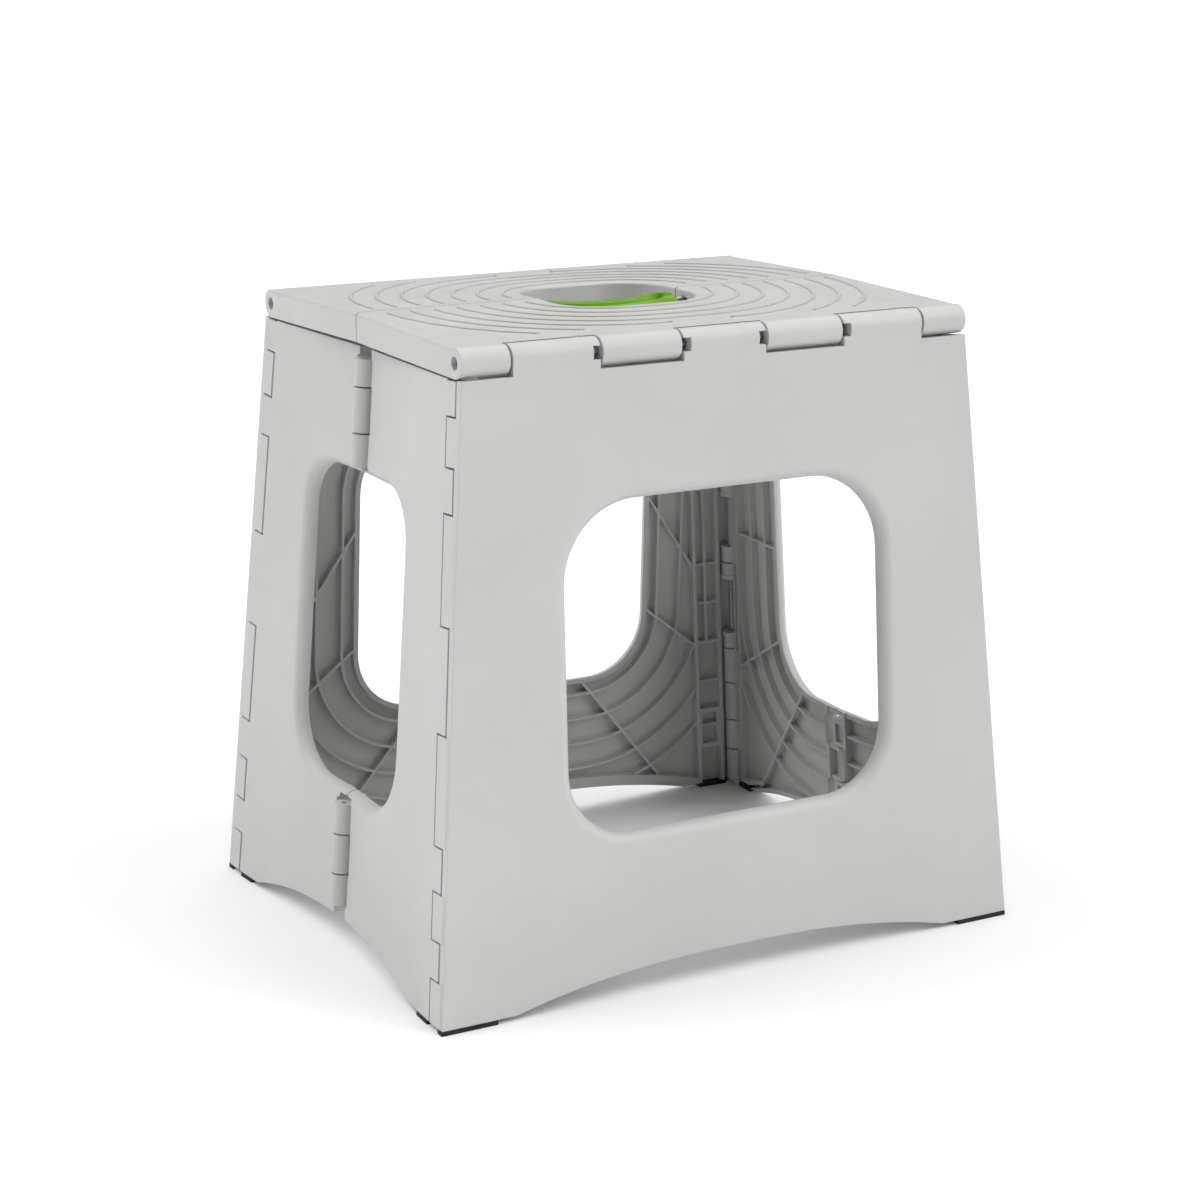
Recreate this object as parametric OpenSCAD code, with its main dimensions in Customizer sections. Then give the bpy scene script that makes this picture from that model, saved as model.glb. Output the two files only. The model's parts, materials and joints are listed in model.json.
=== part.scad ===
// Folding step stool: a seat in two halves, a hinged panel under each long edge and
// a side wall at each end made of two halves that fold inwards.
// Origin: centre of the footprint on the floor. +X runs along the long edge of the
// seat, -Y is the front and +Z is up. Sizes are in millimetres, angles in degrees.
// The stool stands open as it does with nobody on it: the seat is a little crowned at
// its seam and the side walls bow in by a few degrees at their centre hinges.

/* [Envelope] */
// Seat length along X
top_l = 290; // [240:1:340]
// Footprint length along X at the floor
base_l = 340; // [290:1:400]
// Footprint depth along Y at the floor
base_d = 277.2; // [230:1:330]
// Height of the seat at its long edges
seat_h = 332; // [280:1:380]
// Distance from an edge hinge to the centre hinge, along one seat half
half_d = 111.5; // [90:0.5:130]
// Crown of each seat half, above level
seat_tilt = 1.1; // [0.5:0.1:3]
// Bow of each side half, away from its flat position
side_bow = 3; // [2:0.1:5]

/* [Seat] */
// Thickness of a seat half, also the diameter of its edge barrels
seat_t = 15; // [12:0.5:18]
// Thickness of the seat skin
seat_skin = 3.2; // [2:0.1:5]
// Half length of the hand hole
hole_x = 41.5; // [35:0.5:55]
// Half depth of the hand hole, from the seam
hole_y = 39.5; // [30:0.5:45]
// Corner radius of the hand hole
hole_r = 27; // [10:1:35]
// Rounding of the hand hole at the top
hole_lip = 1.6; // [1:0.1:4]
// Rounding of the seat along its two ends
end_r = 2.2; // [1:0.1:2.5]
// Raised tread lines around the hand hole
tread_n = 7; // [3:1:8]
// Spacing of the tread lines along the seam
tread_pitch = 13.1; // [9:0.1:16]
// Height of the tread lines
tread_h = 0.7; // [0.3:0.1:1]
// Width of the tread lines
tread_w = 1.1; // [0.8:0.1:2]

/* [Panels] */
// Thickness of a panel skin
skin = 3; // [2:0.1:4]
// Depth of the front and back panels over their flanges
panel_t = 8.4; // [7:0.1:9]
// Depth of the wall around the openings
ring_t = 7; // [6:0.1:8]
// Depth of the side halves over their flanges
side_t = 8; // [6:0.1:8.5]
// Thickness of a flange wall
wall = 2.6; // [2:0.1:4]
// Thickness of a stiffening rib
rib_w = 1.6; // [1:0.1:3]
// Height of a stiffening rib above the skin
rib_h = 4; // [1:0.5:5]
// Spacing of the ribs that follow an opening
rib_pitch = 15.8; // [8:0.1:20]
// Rounding of an opening on its outer face
lip_r = 6; // [3:0.5:7]
// Height of the foot pads
pad_h = 2.5; // [1:0.5:4]

/* [Hinges] */
// Radius of the edge hinge pins
edge_pin_r = 2.2; // [2:0.1:4]
// Radius of the corner hinge pins
corner_pin_r = 1.5; // [1:0.1:2]
// Radius of the seat centre hinge pins
seam_pin_r = 1.6; // [1:0.1:2.5]
// Radius of the corner hinge knuckles
corner_r = 5.2; // [4:0.1:5.5]
// Radius of the side centre hinge barrels
mid_r = 5.3; // [4:0.1:6]
// Radius of the seat centre hinge knuckles
seam_r = 5; // [4:0.1:6]
// Running clearance of a pin in its bore
fit = 0.05; // [0.02:0.01:0.1]
// Gap between neighbouring knuckles
gap = 0.8; // [0.4:0.1:1.5]
// Gap between the knuckles of an edge hinge
edge_gap = 1.4; // [0.6:0.1:2]
// Gap above and below a corner knuckle
key_gap = 0.9; // [0.4:0.1:1.5]
// How far the edge barrels stand out from the panels
proud = 0.7; // [0:0.1:1]

/* [Hidden] */
$fn = 48;
hair = 0.02;
barrel_r = seat_t / 2;
axis_z = seat_h - barrel_r;
seam_drop = 10.6;
edge_y = half_d * cos(seat_tilt) + seam_drop * sin(seat_tilt);
seam_z = axis_z + half_d * sin(seat_tilt) - seam_drop * cos(seat_tilt);
panel_z = seat_h - seat_t;
phi_f = atan((base_d / 2 - edge_y - (barrel_r - proud) / cos(5)) / axis_z);
phi_s = atan((base_l - top_l) / 2 / panel_z);
edge_s = (base_d / 2 - edge_y) * sin(phi_f) + axis_z * cos(phi_f);
edge_v = (base_d / 2 - edge_y) * cos(phi_f) - axis_z * sin(phi_f);
top_s = edge_s - barrel_r - 0.5;
side_top = (panel_z - 0.8) / cos(phi_s);
corner_f = 10.5;
corner_s = 6.5;
corner_p = [-base_l / 2 + corner_s / cos(phi_s), -base_d / 2 + corner_f / cos(phi_f), 0];
corner_d = [tan(phi_s), tan(phi_f), 1] / norm([tan(phi_s), tan(phi_f), 1]);
lean = asin(corner_d[1]);
corner_len = (panel_z - 0.8) / corner_d[2];
corner_wall = 4.7;
corner_in = 13;
mid_y = 0.21;
mid_v = -0.4;
mid_cut = 7;
mid_far = 9.7;
// Spans of the seat knuckles along X, and of the panel knuckles between them
seat_spans = [[-top_l / 2, -118.3], [-69.6, -24.3], [24.3, 69.6], [118.3, top_l / 2]];
panel_spans = [[-118.3, -69.6], [-24.3, 24.3], [69.6, 118.3]];
// Spans along a corner axis where the front or back panel has its knuckles
tab_spans = [[0, 24], [44.5, 68], [91.5, 146], [199.5, 253], [276, 299.5]];
key_spans = [[24, 44.5], [68, 91.5], [146, 199.5], [253, 276], [299.5, corner_len]];
// Spans along a side centre hinge, for the front half and for the back half
mid_front = [[22.5, 39.5], [62, 78], [256.5, 273.5], [298, 312]];
mid_back = [[40.3, 61.2], [274.3, 297.2]];
// Spans of the seat centre hinge for the front half and for the back half
seam_front = [[62, 74], [86, 98], [110, 122]];
seam_back = [[74.8, 85.2], [98.8, 109.2]];
// Corner circles of the openings: across, up, radius
win_f = [[-58, 119, 35], [58, 119, 35], [51.5, 211.8, 40.5], [-51.5, 211.8, 40.5]];
win_s = [[-26, 119.5, 35], [26, 119.5, 35], [33, 226.3, 26], [-33, 226.3, 26]];
// Handle hinge and the round space inside the handle, in the frame of the front seat half
handle_y = half_d - 8;
handle_z = 2.6;
handle_pin_r = 1.5;
grip = [-9.5, half_d + 24.3];
grip_r = 43;
light = [0.8, 0.79, 0.78];
green = [0.42, 0.74, 0.16];
black = [0.1, 0.1, 0.1];
metal = [0.75, 0.76, 0.78];

// ---- outlines -------------------------------------------------------------

// Outer normal of the line that touches circles a and b, which run counter-clockwise
function touch(a, b) =
  let (d = [b[0] - a[0], b[1] - a[1]], l = norm(d), k = (a[2] - b[2]) / l)
  [d[1], -d[0]] / l * sqrt(1 - k * k) + d / l * k;

function next(c, i) = c[(i + 1) % len(c)];

function touch_pts(c, d) = [
  for (i = [0 : len(c) - 1])
    for (q = [c[i], next(c, i)])
      [q[0], q[1]] + touch(c[i], next(c, i)) * (q[2] + d)
];

// Rounded outline around the circles c, grown by d. The sides stand a hair outside the
// circles, so that side and corner meet in a clean edge
module rounded(c, d = 0) {
  polygon(touch_pts(c, d + hair));
  for (q = c)
    translate([q[0], q[1]])
      circle(q[2] + d);
}

module ring(c, d, w) {
  difference() {
    rounded(c, d + w);
    rounded(c, d);
  }
}

// Section of an opening w deep, through a wall of depth t, its edge rounded by r where Y
// is 0, the rounding set d further in
module lip_section(w, r, t, d = 0) {
  translate([-w, -1])
    square([w, t + 2]);
  difference() {
    translate([-0.2, -1])
      square([r + 0.2, r + 1]);
    translate([r, r + d])
      circle(r + hair);
  }
}

// Opening through a wall of depth t, rounded by r where Z is 0
module opening(c, r, t) {
  translate([0, 0, -1])
    linear_extrude(t + 2)
      polygon(touch_pts(c, -3));
  for (i = [0 : len(c) - 1]) {
    n = touch(c[i], next(c, i));
    a = [c[i][0], c[i][1]] + n * (c[i][2] + hair);
    b = [next(c, i)[0], next(c, i)[1]] + n * (next(c, i)[2] + hair);
    translate([a[0], a[1], 0])
      rotate(atan2(n[1], n[0]))
        rotate([90, 0, 180])
          mirror([1, 0, 0])
            linear_extrude(norm(b - a))
              lip_section(6, r, t, hair / 2);
    translate([c[i][0], c[i][1], 0])
      rotate_extrude()
        translate([c[i][2], 0])
          lip_section(c[i][2], r, t);
  }
}

// Curve of the bottom edge: half length l, height h, raised by d
module arch(l, h, d = 0) {
  n = 20;
  polygon(concat(
    [[-l, d - 30]],
    [for (i = [-n : n]) [l * i / n, d + h * (1 - pow(abs(i / n), 2.5))]],
    [[l, d - 30]]
  ));
}

// ---- frames ---------------------------------------------------------------

// Front face: X along, Y into the stool, Z up the face
module on_front() {
  translate([0, -base_d / 2, 0])
    rotate([-phi_f, 0, 0])
      children();
}

// Outline (X along, Y up the face) with its depth along Z, laid on the front face
module front_face() {
  on_front()
    rotate([-90, 0, 0])
      mirror([0, 1, 0])
        children();
}

// Left face, flat: X into the stool, Y along, Z up the face
module on_left() {
  translate([-base_l / 2, 0, 0])
    rotate([0, phi_s, 0])
      children();
}

// Outline (X along, Y up the face) with its depth along Z, laid on the left face
module left_face() {
  on_left()
    rotate([90, 0, 90])
      children();
}

// Front left corner hinge: Z along its axis, X into the stool
module at_corner() {
  translate(corner_p)
    rotate([0, phi_s, 0])
      rotate([-lean, 0, 0])
        children();
}

// A side half swings in by its bow
module bowed() {
  translate(corner_p)
    rotate(a = -side_bow, v = corner_d)
      translate(-corner_p)
        children();
}

// Front seat half: Y from the edge hinge to the seam, Z up from the hinge axis
module at_seat() {
  translate([0, -edge_y, axis_z])
    rotate([seat_tilt, 0, 0])
      children();
}

module lengthwise(span, r) {
  translate([span[0], 0, 0])
    rotate([0, 90, 0])
      cylinder(r = r, h = span[1] - span[0]);
}

// Knuckle l long, a long one only at its two ends, with a collar c high next to the middle
module knuckle(l, c) {
  e = l > 40 ? 10 : l / 2;
  for (z = [0, l - e])
    translate([0, 0, z])
      cylinder(r = corner_r, h = e);
  if (l > 40)
    for (z = [e - 2.4, l - e])
      translate([0, 0, z])
        cylinder(r = corner_r + c, h = 2.4);
}

module above_floor(z) {
  intersection() {
    children();
    translate([-300, -300, z])
      cube([600, 600, 500]);
  }
}

// ---- seat -----------------------------------------------------------------

function oval(a, b, t) = [
  a * sign(cos(t)) * pow(abs(cos(t)), 0.86),
  b * sign(sin(t)) * pow(abs(sin(t)), 0.86)
];

// Tread line k of the front half, seen from above with the seam at Y 0
module tread(k) {
  a = hole_x + 13.5 + tread_pitch * k;
  b = hole_y + 10 + 12 * k;
  n = 36;
  intersection() {
    difference() {
      polygon([for (i = [0 : n - 1]) oval(a, b, i * 360 / n)]);
      polygon([for (i = [0 : n - 1]) oval(a - tread_w, b - tread_w, i * 360 / n)]);
    }
    union() {
      translate([-200, -half_d + 16])
        square([200, half_d - 26]);
      translate([-1, -half_d + 16])
        square([200, half_d - 22]);
    }
    translate([-top_l / 2 + 6, -half_d])
      square([top_l - 12, half_d]);
  }
}

function hole_c() = [
  [-hole_x + hole_r, half_d - hole_y + hole_r, hole_r],
  [hole_x - hole_r, half_d - hole_y + hole_r, hole_r],
  [hole_x - hole_r, half_d + hole_y - hole_r, hole_r],
  [-hole_x + hole_r, half_d + hole_y - hole_r, hole_r]
];

module seat_shell() {
  d = half_d - 0.22;
  l = top_l / 2;
  translate([-l, 0, barrel_r - seat_skin])
    cube([top_l, d, seat_skin]);
  for (s = [-1, 1])
    translate([s * (l - 2) - 2, 0, -barrel_r])
      cube([4, d, seat_t]);
  translate([-l, d - 3, -barrel_r])
    cube([top_l, 3, seat_t]);
  translate([-l, barrel_r + 0.9, -barrel_r])
    cube([top_l, 3, seat_t]);
  // underside ribs, clear of the hand hole
  for (y = [34, 56])
    translate([-l, y, -barrel_r + 3])
      cube([top_l, 2, seat_t - 4]);
  for (x = [-121, -97, -73, -49, -24, 0, 24, 49, 73, 97, 121])
    translate([x - 1, barrel_r + 2, -barrel_r + 3])
      cube([2, d - barrel_r - 3, seat_t - 4]);
  // wall of the hand hole
  translate([0, 0, -barrel_r])
    linear_extrude(seat_t)
      intersection() {
        ring(hole_c(), -2, 6);
        translate([-l, 0])
          square([top_l, d]);
      }
}

// What the rounding takes off both ends of a seat half
module end_round() {
  for (m = [0, 1])
    mirror([m, 0, 0])
      translate([top_l / 2 - end_r, half_d + 1, barrel_r - end_r])
        rotate([90, 0, 0])
          linear_extrude(half_d + 1)
            difference() {
              square(end_r + 1);
              circle(end_r + hair);
            }
}

module seat_half(own, other) {
  c = [0, half_d, -seam_drop];
  difference() {
    union() {
      difference() {
        seat_shell();
        // room for the panel knuckles
        for (s = panel_spans) {
          translate([s[0] - edge_gap / 2, 0, 0])
            rotate([0, 90, 0])
              cylinder(r = barrel_r + 0.35, h = s[1] - s[0] + edge_gap);
          translate([s[1] - 9.4, 0, barrel_r - 3.5])
            cube([3, 4.4, 6]);
        }
        end_round();
        // hand hole, rounded at the top
        translate([0, 0, barrel_r])
          mirror([0, 0, 1])
            opening(hole_c(), hole_lip, seat_t);
        // room for the knuckles of the other half
        for (m = [0, 1])
          mirror([m, 0, 0])
            for (s = other)
              translate(c + [s[0] - gap, 0, 0])
                rotate([0, 90, 0])
                  cylinder(r = seam_r + 0.5, h = s[1] - s[0] + 2 * gap);
        // round front corners of the skirt between the barrels
        for (s = panel_spans)
          translate([s[0] - edge_gap / 2, -20, -20])
            cube([s[1] - s[0] + edge_gap, 20, 40]);
      }
      for (s = seat_spans)
        lengthwise([s[0] + (s[0] > -top_l / 2 ? edge_gap / 2 : 0),
                    s[1] - (s[1] < top_l / 2 ? edge_gap / 2 : 0)], barrel_r);
      // knuckles of the centre hinge
      for (m = [0, 1])
        mirror([m, 0, 0])
          for (s = own) {
            translate(c + [s[0], 0, 0])
              rotate([0, 90, 0])
                cylinder(r = seam_r, h = s[1] - s[0]);
            translate(c + [s[0], -9, -2.4])
              cube([s[1] - s[0], 8.8, 6]);
          }
      // tread lines
      translate([0, half_d, barrel_r - 0.2])
        linear_extrude(tread_h + 0.2)
          for (k = [0 : tread_n - 1])
            tread(k);
    }
    // bore of the edge hinge, wider at both ends
    translate([-200, 0, 0])
      rotate([0, 90, 0])
        cylinder(r = edge_pin_r + fit, h = 400);
    for (s = [-1, 1])
      translate([s * (top_l / 2 + 1), 0, 0])
        rotate([0, -90 * s, 0])
          cylinder(r = 3.4, h = 17);
    // bore of the centre hinge
    translate(c + [-130, 0, 0])
      rotate([0, 90, 0])
        cylinder(r = seam_pin_r + fit, h = 260);
    // pocket and sockets of the handle pins
    translate([hole_x - 2, handle_y - 4, -4.5])
      cube([4.5, 8, 8]);
    translate([-hole_x - 3.2, handle_y, handle_z])
      lengthwise([0, 2 * hole_x + 8], handle_pin_r + fit);
  }
}

// ---- front and back panels -------------------------------------------------

function half_w(s) = base_l / 2 - (base_l - top_l) / 2 * s / (panel_z / cos(phi_f));

module panel_outline() {
  polygon([[-half_w(0), -2], [half_w(0), -2], [half_w(top_s), top_s], [-half_w(top_s), top_s]]);
}

// Area inside the corner hinges, inset by d
module panel_field(d) {
  w0 = half_w(0) - corner_in - d;
  w1 = half_w(top_s) - corner_in - d;
  difference() {
    polygon([[-w0, d], [w0, d], [w1, top_s - d], [-w1, top_s - d]]);
    arch(138, 15.4, d);
  }
}

module stick(x, y, a, l, w) {
  translate([x, y])
    rotate(a)
      translate([0, -w / 2])
        square([l, w]);
}

module panel_ribs() {
  intersection() {
    panel_field(1);
    union() {
      difference() {
        union() {
          for (k = [0 : 4])
            ring(win_f, 9.3 + rib_pitch * k, rib_w);
          for (m = [0, 1])
            mirror([m, 0]) {
              stick(40, 97.7, -50.6, 110, rib_w);
              stick(80, 134, -37.9, 70, rib_w);
              stick(80, 213, -55.4, 100, rib_w);
              stick(52, 212, 50, 120, rib_w);
            }
        }
        rounded(win_f, 2);
        // the strips beside the corner hinges have ribs of their own
        strip(31.5, -9, top_s);
      }
      difference() {
        strip(23.5, 94.5, 193);
        strip(23.5 - rib_w, 90, 200);
      }
      for (s = [40, 69, 94.5, 119.9, 144.5, 192, 236])
        for (m = [0, 1])
          mirror([m, 0])
            translate([half_w(s) - 32, s])
              square([20, rib_w]);
    }
  }
}

// Strips along both sides of a panel, out from d inside its edges, between two heights
module strip(d, a, b) {
  for (m = [0, 1])
    mirror([m, 0])
      polygon([[half_w(a) - d, a], [half_w(a), a], [half_w(b), b], [half_w(b) - d, b]]);
}

module panel() {
  difference() {
    union() {
      front_face() {
        linear_extrude(skin)
          difference() {
            panel_outline();
            arch(138, 15.4);
          }
        linear_extrude(panel_t)
          difference() {
            panel_field(0);
            panel_field(wall);
          }
        // bottom edge
        linear_extrude(panel_t)
          intersection() {
            panel_field(0);
            arch(138, 15.4, 6.5);
          }
        linear_extrude(ring_t)
          ring(win_f, -2, 5);
        translate([0, 0, skin - 0.2])
          linear_extrude(rib_h + 0.2)
            panel_ribs();
        // flange and blocks beside the corner hinges
        linear_extrude(panel_t - 0.6)
          intersection() {
            panel_field(0.5);
            difference() {
              strip(31.5, -9, top_s);
              strip(29.1, -9, top_s);
            }
          }
        linear_extrude(panel_t - 1)
          intersection() {
            panel_field(0.5);
            difference() {
              strip(30, 26, 52);
              difference() {
                strip(27.5, 29, 49);
                strip(17, 20, 60);
              }
            }
          }
        // thick wall at each corner
        linear_extrude(corner_wall)
          difference() {
            panel_outline();
            polygon([[-half_w(0) + corner_in + 1, -9], [half_w(0) - corner_in - 1, -9],
                     [half_w(top_s) - corner_in - 1, top_s + 9],
                     [-half_w(top_s) + corner_in + 1, top_s + 9]]);
          }
      }
      // knuckles of the edge hinge
      on_front()
        for (s = panel_spans) {
          translate([0, edge_v, edge_s])
            lengthwise([s[0] + edge_gap / 2, s[1] - edge_gap / 2], barrel_r);
          translate([s[0] + edge_gap / 2, 0, top_s - 4])
            cube([s[1] - s[0] - edge_gap, 5, edge_s - top_s + 4]);
        }
      // knuckles of the corner hinges, flush with the side faces
      for (m = [0, 1])
        mirror([m, 0, 0])
          at_corner()
            for (s = tab_spans)
              translate([0, 0, s[0]]) {
                knuckle(s[1] - s[0], 0.7);
                translate([-corner_s, -corner_f + 2, 0])
                  cube([corner_s, corner_f + 1.5, s[1] - s[0]]);
              }
    }
    front_face()
      opening(win_f, lip_r, panel_t);
    on_front() {
      translate([-200, edge_v, edge_s])
        rotate([0, 90, 0])
          cylinder(r = edge_pin_r + fit, h = 400);
      // small recesses beside the knuckle joints
      for (x = [-69.6 - 4.6, -24.3, 24.3 - 4.6, 69.6])
        translate([x, -2, edge_s - 3.4])
          cube([4.6, 9, 6.6]);
    }
    for (m = [0, 1])
      mirror([m, 0, 0])
        at_corner()
          translate([0, 0, -20])
            cylinder(r = corner_pin_r + fit, h = 400);
  }
}

// ---- side halves -----------------------------------------------------------

function side_y(s) = -(base_d / 2 - s * cos(phi_s) * tan(phi_f));

// Skin area of a front side half, inset by d
module side_field(d) {
  u = corner_f + 4.6;
  difference() {
    polygon([[side_y(0) + u + d, d], [-mid_y - mid_cut - d, d],
             [-mid_y - mid_cut - d, side_top - d], [side_y(side_top) + u + d, side_top - d]]);
    arch(108, 15.5, d);
  }
}

module side_ribs() {
  intersection() {
    side_field(1);
    union() {
      for (k = [0 : 3])
        ring(win_s, 13.5 + (rib_pitch + 1) * k, rib_w);
      difference() {
        union() {
          stick(-26, 98.7, 233, 140, rib_w);
          stick(-52, 115.6, 209.8, 90, rib_w);
          stick(-52, 166.4, 180, 80, rib_w);
          stick(-33, 226, 130, 120, rib_w);
        }
        rounded(win_s, 2);
      }
    }
  }
}

module side_half(own, other, groove) {
  bowed()
    difference() {
      union() {
        difference() {
          left_face() {
            linear_extrude(skin)
              side_field(0);
            linear_extrude(side_t)
              difference() {
                side_field(0);
                side_field(wall);
              }
            linear_extrude(ring_t)
              intersection() {
                ring(win_s, -2, 5);
                union() {
                  side_field(0);
                  translate([-mid_y - mid_cut - 1, 60])
                    square([mid_y + mid_cut + 0.5, 60]);
                  translate([-mid_y - mid_cut - 1, 230])
                    square([mid_y + mid_cut - 1.4, 60]);
                }
              }
            translate([0, 0, skin - 0.2])
              linear_extrude(rib_h + 0.2)
                side_ribs();
            // flange beside the corner hinge
            linear_extrude(side_t)
              difference() {
                side_field(5);
                side_field(5 + wall);
                translate([-90, -10])
                  square([200, 400]);
              }
          }
          // room for the panel knuckles
          at_corner()
            for (s = tab_spans)
              translate([0, 0, s[0] - gap])
                cylinder(r = corner_r + 1, h = s[1] - s[0] + 2 * gap);
          // room for the knuckles of the other half
          on_left()
            for (s = other)
              translate([-2, -mid_far, s[0] - gap])
                cube([side_t + 4, 10, s[1] - s[0] + 2 * gap]);
        }
        // knuckles of the corner hinge
        at_corner()
          for (s = key_spans)
            translate([0, 0, s[0] + key_gap]) {
              knuckle(s[1] - s[0] - 2 * key_gap, 0.3);
              translate([-corner_s, -5.3, 0])
                cube([corner_s, 14, s[1] - s[0] - 2 * key_gap]);
              translate([-corner_s, 0, 0])
                cube([side_t, 9, s[1] - s[0] - 2 * key_gap]);
            }
        // barrels of the centre hinge
        on_left()
          for (s = own)
            translate([mid_v, -mid_y, s[0]]) {
              cylinder(r = mid_r, h = s[1] - s[0]);
              difference() {
                translate([-mid_v, -mid_cut - 2.4, 0])
                  cube([side_t - 1, mid_cut + 5.4, s[1] - s[0]]);
                translate([-mid_v + 3.4, -mid_cut, 2.2])
                  cube([side_t, mid_cut + 1.4, s[1] - s[0] - 4.4]);
              }
            }
      }
      left_face()
        opening(win_s, lip_r, side_t);
      at_corner()
        translate([0, 0, -20])
          cylinder(r = corner_pin_r + fit, h = 400);
      on_left()
        translate([mid_v, -mid_y, -20])
          cylinder(r = 1.6, h = 400);
      // groove beside the barrels
      if (groove)
        on_left()
          for (s = [[22.5, 78.8], [255.7, 312]])
            translate([-1, -mid_y - 8.6, s[0]])
              cube([2.7, 3.3, s[1] - s[0]]);
    }
}

// ---- pads ------------------------------------------------------------------

module panel_pad() {
  difference() {
    intersection() {
      front_face()
        linear_extrude(panel_t)
          polygon([[-half_w(0), -3], [-139, -3], [-139, 5], [-half_w(5), 5]]);
      translate([-300, -300, 0])
        cube([600, 600, pad_h]);
    }
    at_corner()
      translate([0, 0, -20])
        cylinder(r = corner_r + 0.6, h = 60);
    // side half
    translate([-base_l / 2 - 1, -base_d / 2 + 5.1, -1])
      cube([13.5, 20, 10]);
  }
}

module side_pad() {
  intersection() {
    bowed()
      left_face()
        linear_extrude(side_t)
          polygon([[side_y(0) + 17, -3], [-108, -3], [-108, 5], [side_y(5) + 17, 5]]);
    translate([-300, -300, 0])
      cube([600, 600, pad_h]);
  }
}

// ---- handle ----------------------------------------------------------------

module handle_body() {
  x = hole_x - 1.2;
  r = hole_r - 1.2;
  right = 31.2;
  difference() {
    union() {
      // band along the front wall of the hole, widening to the right
      translate([0, 0, handle_z - 1.1])
        linear_extrude(5.5)
          difference() {
            intersection() {
              rounded([[-x + r, half_d - hole_y + hole_r, r], [right - r, half_d - hole_y + hole_r, r],
                       [right - r, half_d, r], [-x + r, half_d, r]]);
              translate([-60, 0])
                square([120, handle_y]);
            }
            translate(grip)
              circle(grip_r);
          }
      for (q = [[-x, 3.3], [right - 10.4, 10.4]])
        translate([q[0], handle_y, handle_z])
          rotate([0, 90, 0])
            cylinder(r = 4.4, h = q[1]);
    }
    // bore of the hinge
    translate([-80, handle_y, handle_z])
      rotate([0, 90, 0])
        cylinder(r = handle_pin_r + fit, h = 160);
    // step along the outer side
    translate([0, 0, handle_z + 3.2])
      linear_extrude(5)
        difference() {
          translate([-60, 0])
            square([120, handle_y - 5]);
          translate(grip)
            circle(grip_r + 8.5);
        }
    // finger recess in the broad end
    translate([grip[0], grip[1], handle_z + 0.4])
      rotate(-52)
        translate([grip_r + 6.5, 0])
          linear_extrude(8)
            rounded([[0, -4, 2.3], [0.5, -4, 2.3], [0.5, 4, 2.3], [0, 4, 2.3]]);
  }
}

// ---- placed parts ----------------------------------------------------------

module quarter(x, y) {
  mirror([x, 0, 0])
    mirror([0, y, 0])
      children();
}

module seat_front() {
  color(light)
    at_seat()
      seat_half(seam_front, seam_back);
}

module seat_back() {
  color(light)
    rotate([0, 0, 180])
      at_seat()
        seat_half(seam_back, seam_front);
}

module panel_front() {
  color(light)
    above_floor(pad_h)
      panel();
}

module panel_back() {
  color(light)
    rotate([0, 0, 180])
      above_floor(pad_h)
        panel();
}

module side(x, y) {
  color(light)
    quarter(x, y)
      above_floor(pad_h)
        side_half(y == 0 ? mid_front : mid_back, y == 0 ? mid_back : mid_front, y == 0);
}

module side_front_left() { side(0, 0); }
module side_front_right() { side(1, 0); }
module side_back_left() { side(0, 1); }
module side_back_right() { side(1, 1); }

module edge_pin(y) {
  color(metal)
    quarter(0, y)
      translate([0, -edge_y, axis_z])
        lengthwise([-top_l / 2 + 16, top_l / 2 - 16], edge_pin_r);
}

module edge_pin_front() { edge_pin(0); }
module edge_pin_back() { edge_pin(1); }

module seam_pin(x) {
  color(metal)
    quarter(x, 0)
      translate([0, 0, seam_z])
        lengthwise([-122, -62], seam_pin_r);
}

module seam_pin_left() { seam_pin(0); }
module seam_pin_right() { seam_pin(1); }

module corner_pin(x, y) {
  color(metal)
    quarter(x, y)
      at_corner()
        translate([0, 0, 5])
          cylinder(r = corner_pin_r, h = corner_len - 6);
}

module corner_pin_front_left() { corner_pin(0, 0); }
module corner_pin_front_right() { corner_pin(1, 0); }
module corner_pin_back_left() { corner_pin(0, 1); }
module corner_pin_back_right() { corner_pin(1, 1); }

module pad(x, y) {
  color(black)
    quarter(x, y)
      panel_pad();
}

module pad_front_left() { pad(0, 0); }
module pad_front_right() { pad(1, 0); }
module pad_back_left() { pad(0, 1); }
module pad_back_right() { pad(1, 1); }

module pad_side(x, y) {
  color(black)
    quarter(x, y)
      side_pad();
}

module pad_side_front_left() { pad_side(0, 0); }
module pad_side_front_right() { pad_side(1, 0); }
module pad_side_back_left() { pad_side(0, 1); }
module pad_side_back_right() { pad_side(1, 1); }

module handle() {
  color(green)
    at_seat()
      handle_body();
}

module handle_pin(span) {
  color(metal)
    at_seat()
      translate([0, handle_y, handle_z])
        lengthwise(span, handle_pin_r);
}

module handle_pin_left() { handle_pin([-hole_x - 3, -hole_x + 4.5]); }
module handle_pin_right() { handle_pin([24, hole_x + 4.5]); }

seat_front();
seat_back();
panel_front();
panel_back();
side_front_left();
side_front_right();
side_back_left();
side_back_right();
edge_pin_front();
edge_pin_back();
seam_pin_left();
seam_pin_right();
corner_pin_front_left();
corner_pin_front_right();
corner_pin_back_left();
corner_pin_back_right();
pad_front_left();
pad_front_right();
pad_back_left();
pad_back_right();
pad_side_front_left();
pad_side_front_right();
pad_side_back_left();
pad_side_back_right();
handle();
handle_pin_left();
handle_pin_right();
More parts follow.
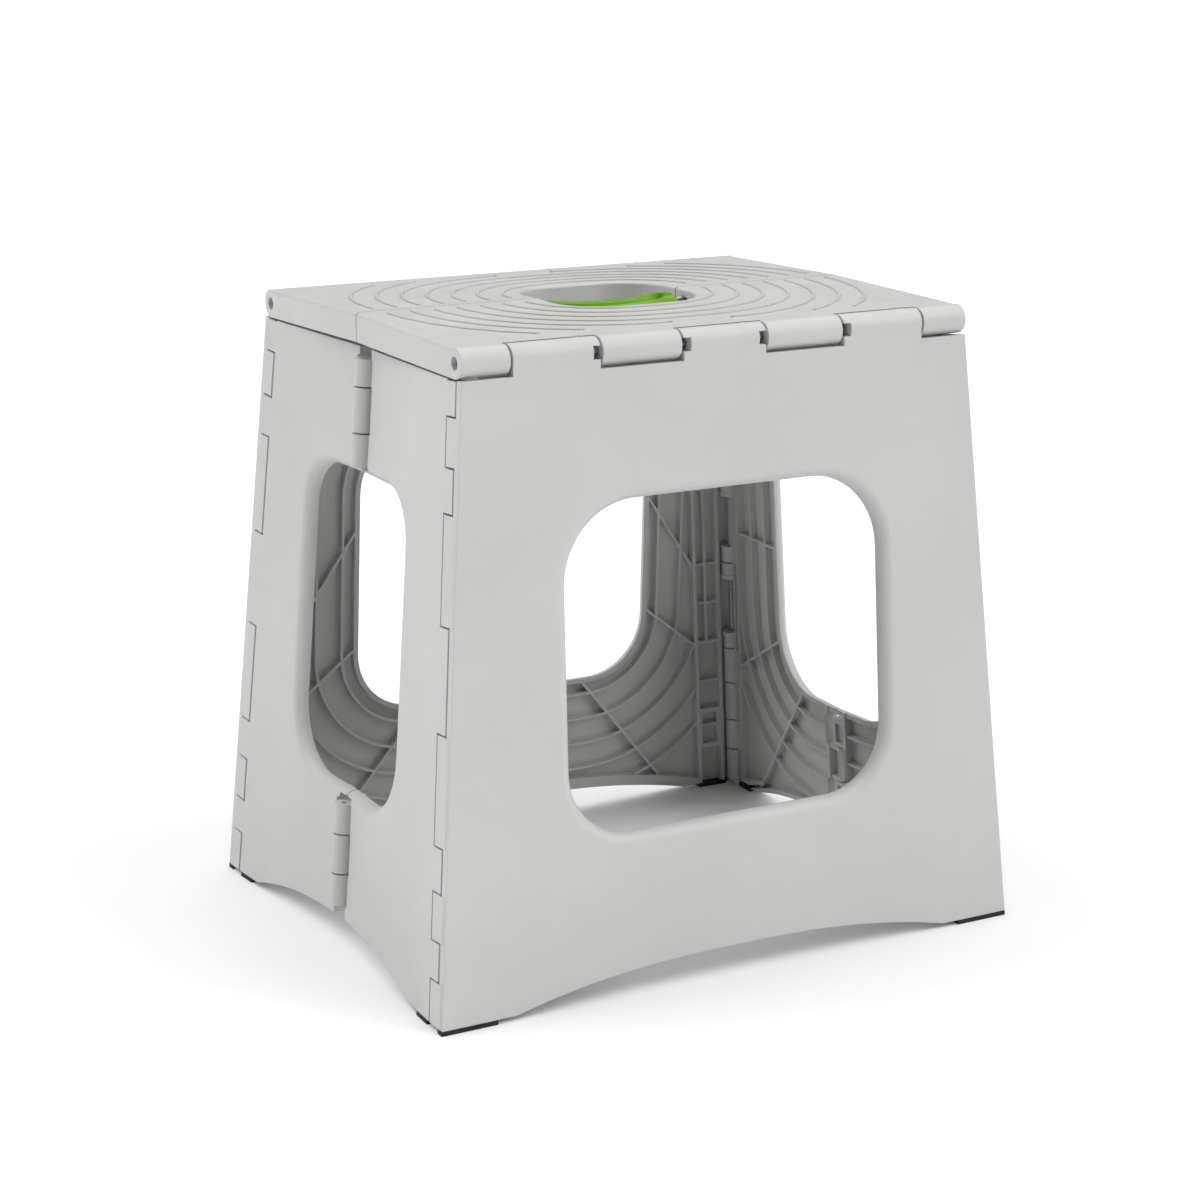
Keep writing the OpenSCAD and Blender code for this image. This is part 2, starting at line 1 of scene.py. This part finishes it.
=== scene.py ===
import bpy, json, math
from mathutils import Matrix, Quaternion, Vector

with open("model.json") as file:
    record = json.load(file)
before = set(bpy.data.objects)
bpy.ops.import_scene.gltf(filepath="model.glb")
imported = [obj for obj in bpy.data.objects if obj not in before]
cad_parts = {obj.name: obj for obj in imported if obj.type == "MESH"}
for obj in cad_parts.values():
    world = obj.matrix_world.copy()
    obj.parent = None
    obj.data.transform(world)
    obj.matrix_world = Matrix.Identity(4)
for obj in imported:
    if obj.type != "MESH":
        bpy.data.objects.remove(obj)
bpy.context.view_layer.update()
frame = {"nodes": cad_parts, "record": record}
N = frame["nodes"]

# camera: lens in mm, place in m, direction in degrees
LENS, SENSOR = 82.88, 36.0
CAMERA_AT = (-0.7086, -1.2654, 0.5402)
AZIMUTH, ELEVATION, ROLL = 29.084, 14.439, -0.044
# the useful range of a noise texture's values
NOISE_LO, NOISE_HI = 0.3, 0.7
# each colour as the two ends of its slight clouding
GREY = (0.545, 0.54, 0.53), (0.585, 0.58, 0.57)
GREEN = (0.20, 0.43, 0.045), (0.26, 0.52, 0.07)
BLACK = (0.012, 0.012, 0.012), (0.03, 0.03, 0.031)
STEEL = (0.26, 0.26, 0.27), (0.36, 0.36, 0.37)
EDGE_ROUND = 0.0005
SHARP_ANGLE = math.radians(32)
FLOOR_HALF = 30.0
FLOOR_WHITE = (0.93, 0.93, 0.93, 1)
# name, direction towards the light, strength, apparent width in degrees
LIGHTS = (
    ("right", (0.85, -0.75, 0.72), 1.38, 45),
    ("left", (-0.8, 0.6, 0.72), 1.15, 45),
    ("top", (0.0, 0.0, 1.6), 2.6, 90),
)
WORLD_STRENGTH = 0.05


# ---- camera: the photograph's place and angle --------------------------------
def make_camera():
    cam = bpy.data.cameras.new("camera")
    cam.lens, cam.sensor_width = LENS, SENSOR
    cam.clip_start, cam.clip_end = 0.05, 30
    o = bpy.data.objects.new("camera", cam)
    bpy.context.scene.collection.objects.link(o)
    az, el, roll = math.radians(AZIMUTH), math.radians(ELEVATION), math.radians(ROLL)
    look = Vector((math.sin(az) * math.cos(el), math.cos(az) * math.cos(el), -math.sin(el)))
    o.location = CAMERA_AT
    o.rotation_mode = "QUATERNION"
    o.rotation_quaternion = look.to_track_quat("-Z", "Y") @ Quaternion((0, 0, 1), roll)
    bpy.context.scene.camera = o


make_camera()


# ---- materials ---------------------------------------------------------------
class Mat:
    """Small helper around one node tree."""

    def __init__(self, name):
        self.m = bpy.data.materials.new(name)
        self.m.use_nodes = True
        self.t = self.m.node_tree
        self.t.nodes.clear()
        self.out = self.add("ShaderNodeOutputMaterial")
        self.s = self.add("ShaderNodeBsdfPrincipled")
        self.link(self.s, "BSDF", self.out, "Surface")
        self.pos = self.add("ShaderNodeTexCoord")

    def add(self, kind, **kw):
        n = self.t.nodes.new(kind)
        for k, v in kw.items():
            setattr(n, k, v)
        return n

    def link(self, a, ao, b, bi):
        self.t.links.new(a.outputs[ao], b.inputs[bi])

    def noise(self, scale, detail=3.0, rough=0.5):
        n = self.add("ShaderNodeTexNoise")
        n.inputs["Scale"].default_value = scale
        n.inputs["Detail"].default_value = detail
        n.inputs["Roughness"].default_value = rough
        self.link(self.pos, "Object", n, "Vector")
        return n

    def ramp(self, noise, a, b):
        """Spread a noise over the values a to b."""
        r = self.add("ShaderNodeMapRange")
        r.inputs["From Min"].default_value = NOISE_LO
        r.inputs["From Max"].default_value = NOISE_HI
        r.inputs["To Min"].default_value = a
        r.inputs["To Max"].default_value = b
        self.link(noise, "Fac", r, "Value")
        return r

    def colours(self, src, out, a, b):
        m = self.add("ShaderNodeMix", data_type="RGBA")
        m.inputs["A"].default_value = (*a, 1)
        m.inputs["B"].default_value = (*b, 1)
        self.t.links.new(src.outputs[out], m.inputs["Factor"])
        return m

    def bump(self, noise, strength, distance, before=None):
        b = self.add("ShaderNodeBump")
        b.inputs["Strength"].default_value = strength
        b.inputs["Distance"].default_value = distance
        self.link(noise, "Fac", b, "Height")
        if before:
            self.link(before, "Normal", b, "Normal")
        return b


def grey_plastic():
    m = Mat("grey_plastic")
    s = m.s
    s.inputs["IOR"].default_value = 1.47
    s.inputs["Specular IOR Level"].default_value = 0.42
    cloud = m.noise(9, 4, 0.55)
    tint = m.colours(m.ramp(cloud, 0, 1), "Result", *GREY)
    m.t.links.new(tint.outputs["Result"], s.inputs["Base Color"])
    rough = m.ramp(m.noise(55, 5, 0.6), 0.36, 0.48)
    m.link(rough, "Result", s, "Roughness")
    grain = m.noise(2600, 2, 0.5)
    wave = m.noise(38, 2, 0.5)
    edge = m.add("ShaderNodeBevel", samples=6)
    edge.inputs["Radius"].default_value = EDGE_ROUND
    b1 = m.bump(wave, 0.12, 0.0006, edge)
    b2 = m.bump(grain, 0.10, 0.00012, b1)
    m.link(b2, "Normal", s, "Normal")
    return m.m


def green_plastic():
    m = Mat("handle_green")
    s = m.s
    s.inputs["IOR"].default_value = 1.5
    s.inputs["Specular IOR Level"].default_value = 0.5
    s.inputs["Coat Weight"].default_value = 0.25
    s.inputs["Coat Roughness"].default_value = 0.12
    cloud = m.noise(30, 3, 0.5)
    tint = m.colours(m.ramp(cloud, 0, 1), "Result", *GREEN)
    m.t.links.new(tint.outputs["Result"], s.inputs["Base Color"])
    rough = m.ramp(m.noise(120, 4, 0.6), 0.2, 0.34)
    m.link(rough, "Result", s, "Roughness")
    b = m.bump(m.noise(90, 2, 0.5), 0.08, 0.0004)
    m.link(b, "Normal", s, "Normal")
    return m.m


def black_rubber():
    m = Mat("foot_rubber")
    s = m.s
    s.inputs["IOR"].default_value = 1.5
    s.inputs["Specular IOR Level"].default_value = 0.3
    tint = m.colours(m.noise(60, 4, 0.6), "Fac", *BLACK)
    m.t.links.new(tint.outputs["Result"], s.inputs["Base Color"])
    rough = m.ramp(m.noise(300, 4, 0.6), 0.6, 0.85)
    m.link(rough, "Result", s, "Roughness")
    b = m.bump(m.noise(1200, 3, 0.6), 0.3, 0.0003)
    m.link(b, "Normal", s, "Normal")
    return m.m


def steel():
    m = Mat("hinge_pin")
    s = m.s
    s.inputs["Metallic"].default_value = 1.0
    tint = m.colours(m.noise(140, 4, 0.6), "Fac", *STEEL)
    m.t.links.new(tint.outputs["Result"], s.inputs["Base Color"])
    rough = m.ramp(m.noise(400, 4, 0.6), 0.25, 0.42)
    m.link(rough, "Result", s, "Roughness")
    b = m.bump(m.noise(900, 2, 0.5), 0.1, 0.0001)
    m.link(b, "Normal", s, "Normal")
    return m.m


MATS = {
    "grey_plastic": grey_plastic(),
    "handle_green": green_plastic(),
    "foot_rubber": black_rubber(),
    "hinge_pin": steel(),
}
SLOT = {p["node"]: p["material_slot"] for p in frame["record"]["subparts"]}
for name, o in N.items():
    o.data.materials.clear()
    o.data.materials.append(MATS[SLOT[name]])
    for p in o.data.polygons:
        p.use_smooth = True
    o.data.set_sharp_from_angle(angle=SHARP_ANGLE)


# ---- floor and light ---------------------------------------------------------
def floor():
    me = bpy.data.meshes.new("floor")
    w = FLOOR_HALF
    me.from_pydata([(-w, -w, 0), (w, -w, 0), (w, w, 0), (-w, w, 0)], [], [(0, 1, 2, 3)])
    o = bpy.data.objects.new("floor", me)
    bpy.context.scene.collection.objects.link(o)
    m = bpy.data.materials.new("floor")
    m.use_nodes = True
    s = m.node_tree.nodes["Principled BSDF"]
    s.inputs["Base Color"].default_value = FLOOR_WHITE
    s.inputs["Roughness"].default_value = 0.9
    s.inputs["Specular IOR Level"].default_value = 0.1
    me.materials.append(m)


floor()


def sun(name, where, strength, angle):
    d = bpy.data.lights.new(name, "SUN")
    d.energy, d.angle = strength, math.radians(angle)
    o = bpy.data.objects.new(name, d)
    bpy.context.scene.collection.objects.link(o)
    o.location = where
    o.rotation_mode = "QUATERNION"
    o.rotation_quaternion = (-Vector(where)).to_track_quat("-Z", "Y")


for light in LIGHTS:
    sun(*light)

world = bpy.data.worlds.new("studio")
bpy.context.scene.world = world
world.use_nodes = True
bg = world.node_tree.nodes["Background"]
bg.inputs["Color"].default_value = (1, 1, 1, 1)
bg.inputs["Strength"].default_value = WORLD_STRENGTH
bpy.context.scene.view_settings.view_transform = "Standard"
